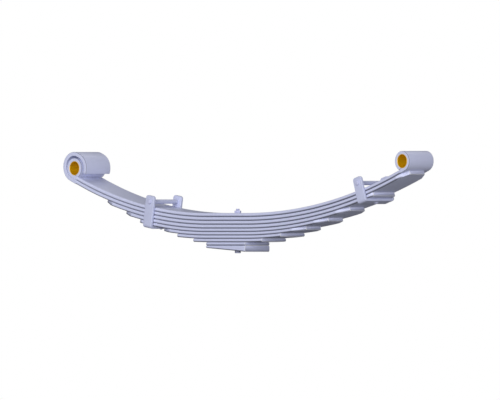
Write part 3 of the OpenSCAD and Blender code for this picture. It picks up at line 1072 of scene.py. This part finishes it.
@dataclass
class Clip:
    """U-shaped strap riveted under the leaves of one arm, with its bolt, spacer tube and nut."""

    arm: Arm
    leaf_bottom: float      # height of the underside of the lowest leaf that it holds, above that of leaf 1
    leaf_width: float
    bars: BarMaker
    paint: Finish
    fasteners: Fasteners
    half_wide: float = 17 * MM
    thick: float = 8 * MM
    side_gap: float = 1.2 * MM
    ear_round: float = 8 * MM
    ear_above_bolt: float = 17.5 * MM
    strap_edge: float = 1.4 * MM
    contact: float = 0.05 * MM
    bolt_radius: float = 4.75 * MM
    tube_radius: float = 6.35 * MM
    head_high: float = 5 * MM
    rivet_head: float = 6.5 * MM
    rivet_high: float = 4.5 * MM
    rivet_shank: float = 4 * MM
    rivet_first: float = 2.0        # degrees from the dome's top to its outline's first point
    ear_edge: float = 0.6 * MM
    crown: float = 2.4 * MM         # rounding of the bolt's head
    plain_past_ear: float = 1 * MM  # plain shank beyond the far ear
    tube_clearance: float = 0.35 * MM
    tube_chamfer: float = 0.5 * MM
    nut_flats: float = 14.3 * MM
    nut_clearance: float = 0.05 * MM
    bend_turn: float = 9.0          # degrees between stations of a bend

    @property
    def name(self) -> str:
        """The clip's CAD node."""
        return f"{self.arm.name}_clip"

    @property
    def frame(self) -> Matrix:
        """Frame on the underside of leaf 1, under the clip, square to the arm."""
        return self.arm.square_to(self.arm.clip_turn, self.arm.at(self.arm.reach(self.arm.clip_turn), 0))

    @property
    def bolt_rise(self) -> float:
        """Height of the bolt's axis above the underside of leaf 1."""
        low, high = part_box(f"{self.name}_bolt")
        return (self.frame.inverted() @ ((low + high) / 2)).z

    @property
    def ear_outer(self) -> float:
        """Middle of the spring to the outside of an ear."""
        return self.leaf_width / 2 + self.side_gap + self.thick

    def build(self) -> None:
        """Builds the five pieces."""
        self.strap()
        self.bolt()
        self.spacer()
        self.nut()
        self.rivet()

    def strap(self) -> None:
        """The strap, from the top of one ear, under the leaves and up to the top of the other."""
        near = self.half_strap()
        far = [(-y, z, -ny, nz, half) for y, z, ny, nz, half in reversed(near)]
        across = (self.frame.to_3x3() @ Vector((1, 0, 0))).normalized()
        stations = []
        for y, z, ny, nz, half in near + far:
            middle = Vector((0, y, z))
            normal = Vector((0, ny, nz)) * (self.thick / 2)
            stations.append(Station(self.frame @ (middle + normal), self.frame @ (middle - normal), half,
                                    across=across))
        piece = self.bars.make(f"{self.name}_strap", stations, self.strap_edge, self.paint)
        self.soften_tops(piece)
        self.hang(piece, "")

    def hang(self, piece: Piece, part: str) -> None:
        """Makes a piece ride with the arm, in place of the clip's CAD node of that part."""
        keep(piece, self.arm.inner_body, self.name + part)

    def half_strap(self) -> list[tuple[float, float, float, float, float]]:
        """Middle line of the near half: y, z, the outward normal's y and z, and the half width."""
        seat = self.leaf_bottom - self.contact
        ear_y = -(self.ear_outer - self.thick / 2)
        top = self.bolt_rise + self.ear_above_bolt
        bend = self.side_gap + self.thick / 2
        bend_z = seat + self.side_gap
        found = []
        for degrees in spread(0, 90, self.bend_turn):
            a = math.radians(degrees)
            drop = self.ear_round * (1 - math.cos(a))
            half = self.half_wide - self.ear_round * (1 - math.sin(a))
            found.append((ear_y, top - drop, -1.0, 0.0, half))
        for z in spread(top - self.ear_round, bend_z)[1:]:
            found.append((ear_y, z, -1.0, 0.0, self.half_wide))
        for degrees in spread(0, 90, self.bend_turn)[1:]:
            a = math.radians(degrees)
            found.append((ear_y + bend - bend * math.cos(a), bend_z - bend * math.sin(a),
                          -math.cos(a), -math.sin(a), self.half_wide))
        found.append((-self.half_wide, bend_z - bend, 0.0, -1.0, self.half_wide))
        return found

    def soften_tops(self, piece: Piece) -> None:
        """Rounds the edges of the ears' tops."""
        up = self.frame.to_3x3() @ Vector((0, 0, 1))

        def change(bm: bmesh.types.BMesh) -> None:
            """Rounds both ears."""
            tops = [f for f in bm.faces if len(f.verts) > END_CORNERS and f.normal.dot(up) > 0.9]
            edges = {e for f in tops for e in f.edges}
            round_edges(bm, edges, self.ear_edge)
        tidy_mesh(piece.data, change)

    def at_bolt(self, y: float) -> Matrix:
        """Frame on the bolt's axis at a distance across the spring, with z towards the nut."""
        return self.frame @ Matrix.Translation((0, y, self.bolt_rise)) @ Matrix.Rotation(-QUARTER, 4, "X")

    def bolt(self) -> None:
        """Round-headed bolt through both ears."""
        low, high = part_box(f"{self.name}_bolt")
        head = (high.z - low.z) / 2
        crown = arc_points((head - self.crown, self.crown - self.head_high), self.crown, -90, 0, 6)
        outline = [(self.bolt_radius / 2, -self.head_high)] + crown
        plain = 2 * self.ear_outer + self.plain_past_ear
        outline += [(head, 0.0), (self.bolt_radius, 0.0), (self.bolt_radius, plain)]
        rod = turned(f"{self.name}_rod", outline, self.at_bolt(-self.ear_outer), self.fasteners.steel)
        start = self.ear_outer + self.plain_past_ear
        tail = self.fasteners.thread(f"{self.name}_tail", self.bolt_radius, high.y - start,
                                     self.at_bolt(start))
        self.hang(joined_piece(f"{self.name}_bolt_body", [rod, tail]), "_bolt")

    def spacer(self) -> None:
        """Tube between the ears."""
        half = self.leaf_width / 2 + self.side_gap
        inner, outer, c = self.bolt_radius + self.tube_clearance, self.tube_radius, self.tube_chamfer
        outline = [(inner, -half), *tube_wall(outer, half, c), (inner, half)]
        piece = turned(f"{self.name}_spacer_tube", outline, self.at_bolt(0.0), self.paint, hollow=True)
        self.hang(piece, "_spacer")

    def nut(self) -> None:
        """Hexagonal nut on the far ear."""
        low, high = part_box(f"{self.name}_nut")
        piece = self.fasteners.nut(f"{self.name}_nut_body", self.nut_flats, high.y - low.y,
                                   self.bolt_radius + self.nut_clearance, self.at_bolt(self.ear_outer))
        self.hang(piece, "_nut")

    def rivet(self) -> None:
        """Rivet with a domed head under the strap."""
        under = self.leaf_bottom - self.contact - self.thick
        dome = (self.rivet_head ** 2 + self.rivet_high ** 2) / (2 * self.rivet_high)
        rim = math.degrees(math.asin(self.rivet_head / dome))
        crown = arc_points((0.0, under - self.rivet_high + dome), dome, self.rivet_first - 90, rim - 90, 12)
        shank = self.rivet_shank
        outline = crown + [(shank, under), (shank, self.leaf_bottom + self.rivet_high)]
        piece = turned(f"{self.name}_rivet_body", outline, self.frame, self.fasteners.steel)
        self.hang(piece, "_rivet")


# ---- the studio ----

@dataclass
class Studio:
    """Pale floor, soft light and the camera."""

    floor_z: float
    look_at: Vector = Vector((0.0251, 0.0251, 0.1452))
    azimuth: float = 45.0
    view_width: float = 1.4545
    distance: float = 4.0
    floor_colour: Colour = (0.82, 0.82, 0.83)
    floor_bounce: float = 0.42    # share of its light that the floor throws back at the object
    floor_half: float = 6.0
    surround: float = 0.05        # strength of the light from all round

    def build(self) -> None:
        """Builds the floor, the lights, the world and the camera."""
        self.floor()
        self.light("key_light", azimuth=19, elevation=14, strength=1.9, softness=40)
        self.light("low_light", azimuth=45, elevation=1.5, strength=0.9, softness=3)
        self.light("fill_light", azimuth=85, elevation=10, strength=0.45, softness=20)
        self.light("back_light", azimuth=205, elevation=60, strength=0.8, softness=50)
        self.world()
        self.camera()

    def floor(self) -> None:
        """Plain pale floor under the object."""
        half = self.floor_half
        g = SurfaceGraph("floor_paint")
        cloud = g.noise(g.place(), scale=3.0)
        pale = g.mix(cloud, rgba(self.floor_colour, 0.97), rgba(self.floor_colour, 1.02))
        seen = g.out(g.node("ShaderNodeLightPath"), "Is Camera Ray")
        g.feed(Base_Color=g.mix(seen, rgba(self.floor_colour, self.floor_bounce), pale), Roughness=0.9)
        mesh = bpy.data.meshes.new("floor")
        corners = [(-half, -half), (half, -half), (half, half), (-half, half)]
        mesh.from_pydata([(x, y, self.floor_z) for x, y in corners], [], [(0, 1, 2, 3)])
        mesh.materials.append(g.material)
        placed("floor", mesh)

    @staticmethod
    def direction(azimuth: float, elevation: float) -> Vector:
        """Direction from the object, where azimuth 0 is -Y and 90 is +X, in degrees."""
        a, e = math.radians(azimuth), math.radians(elevation)
        return Vector((math.sin(a) * math.cos(e), -math.cos(a) * math.cos(e), math.sin(e)))

    def light(self, name: str, azimuth: float, elevation: float, strength: float, softness: float) -> None:
        """Adds a broad, distant light."""
        data = bpy.data.lights.new(name, "SUN")
        data.energy = strength
        data.angle = math.radians(softness)
        lamp = placed(name, data)
        lamp.rotation_mode = "QUATERNION"
        lamp.rotation_quaternion = self.direction(azimuth, elevation).to_track_quat("Z", "Y")

    def world(self) -> None:
        """White surroundings that light the object softly."""
        world = bpy.data.worlds.new("studio")
        world.use_nodes = True
        g = Graph(world.node_tree)
        g.tree.nodes.clear()
        seen = g.out(g.node("ShaderNodeLightPath"), "Is Camera Ray")
        glow = g.node("ShaderNodeBackground", inputs={"Color": (1.0, 1.0, 1.0, 1.0),
                                                      "Strength": seen * (1 - self.surround) + self.surround})
        g.node("ShaderNodeOutputWorld", inputs={"Surface": glow.outputs[0]})
        bpy.context.scene.world = world

    def camera(self) -> None:
        """Camera square to the spring's near corner."""
        data = bpy.data.cameras.new("camera")
        data.type = "ORTHO"
        data.ortho_scale = self.view_width
        camera = placed("camera", data)
        back = self.direction(self.azimuth, 0)
        camera.location = self.look_at + back * self.distance
        camera.rotation_mode = "QUATERNION"
        camera.rotation_quaternion = back.to_track_quat("Z", "Y")
        bpy.context.scene.camera = camera
        bpy.context.scene.view_settings.view_transform = "Standard"


# ---- the whole spring ----

EYE_RISE = 29.6 * MM


def read_arm(name: str, side: int) -> Arm:
    """Works out an arm's arc from its eye, its clip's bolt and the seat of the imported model."""
    eye = Vector(MOUNTS[f"{name}_eye_bore"]["pos_m"])
    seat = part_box("spacer_plate")[1].x
    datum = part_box("leaf_1_main")[0].z
    out, up = abs(eye.x) - seat, eye.z - datum
    radius = (out ** 2 + up ** 2 - EYE_RISE ** 2) / (2 * (up - EYE_RISE))
    eye_turn = math.asin(out / (radius - EYE_RISE))
    low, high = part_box(f"{name}_clip_bolt")
    bolt = (low + high) / 2
    clip_turn = math.atan2(abs(bolt.x) - seat, datum + radius - bolt.z)
    return Arm(name, side, radius, seat, datum, eye_turn, clip_turn, eye)


def main() -> None:
    """Builds the whole spring and the studio, piece by piece."""
    logging.basicConfig(level=logging.INFO, format="%(name)s: %(message)s")
    front, rear = read_arm("front", -1), read_arm("rear", 1)
    low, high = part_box("leaf_1_main")
    width = high.y - low.y
    bore = MOUNTS["front_eye_bore"]["dims"]["r_mm"] * MM
    blue_grey = (0.62, 0.65, 0.87)
    leaf_paint = Paint("leaf_paint", blue_grey, along_bar=True).material()
    plate_paint = Paint("plate_paint", (0.60, 0.63, 0.85), roughness=0.46, along_bar=True).material()
    clip_paint = Paint("clip_paint", (0.57, 0.60, 0.81), roughness=0.44).material()
    steel_paint = Paint("fastener_paint", (0.56, 0.58, 0.80), roughness=0.38).material()
    bronze = Bronze("bushing_bronze", (0.86, 0.51, 0.0), (0.88, 0.55, 0.02), width / 2).material()
    bars = BarMaker()
    fasteners = Fasteners(steel_paint)
    pack = LeafPack(front, rear, width, bars, leaf_paint)
    pack.build()
    AxleSeat(width, bars, plate_paint, fasteners).build()
    leaves = {leaf.number: leaf for leaf in pack.leaves()}
    for arm, lowest in ((front, 5), (rear, 3)):
        EyeBushing(arm, width / 2, bore, bronze).build()
        Clip(arm, leaves[lowest].bottom, width, bars, clip_paint, fasteners).build()
    Studio(CAD_BOX[0].z).build()


if __name__ == "__main__":
    main()
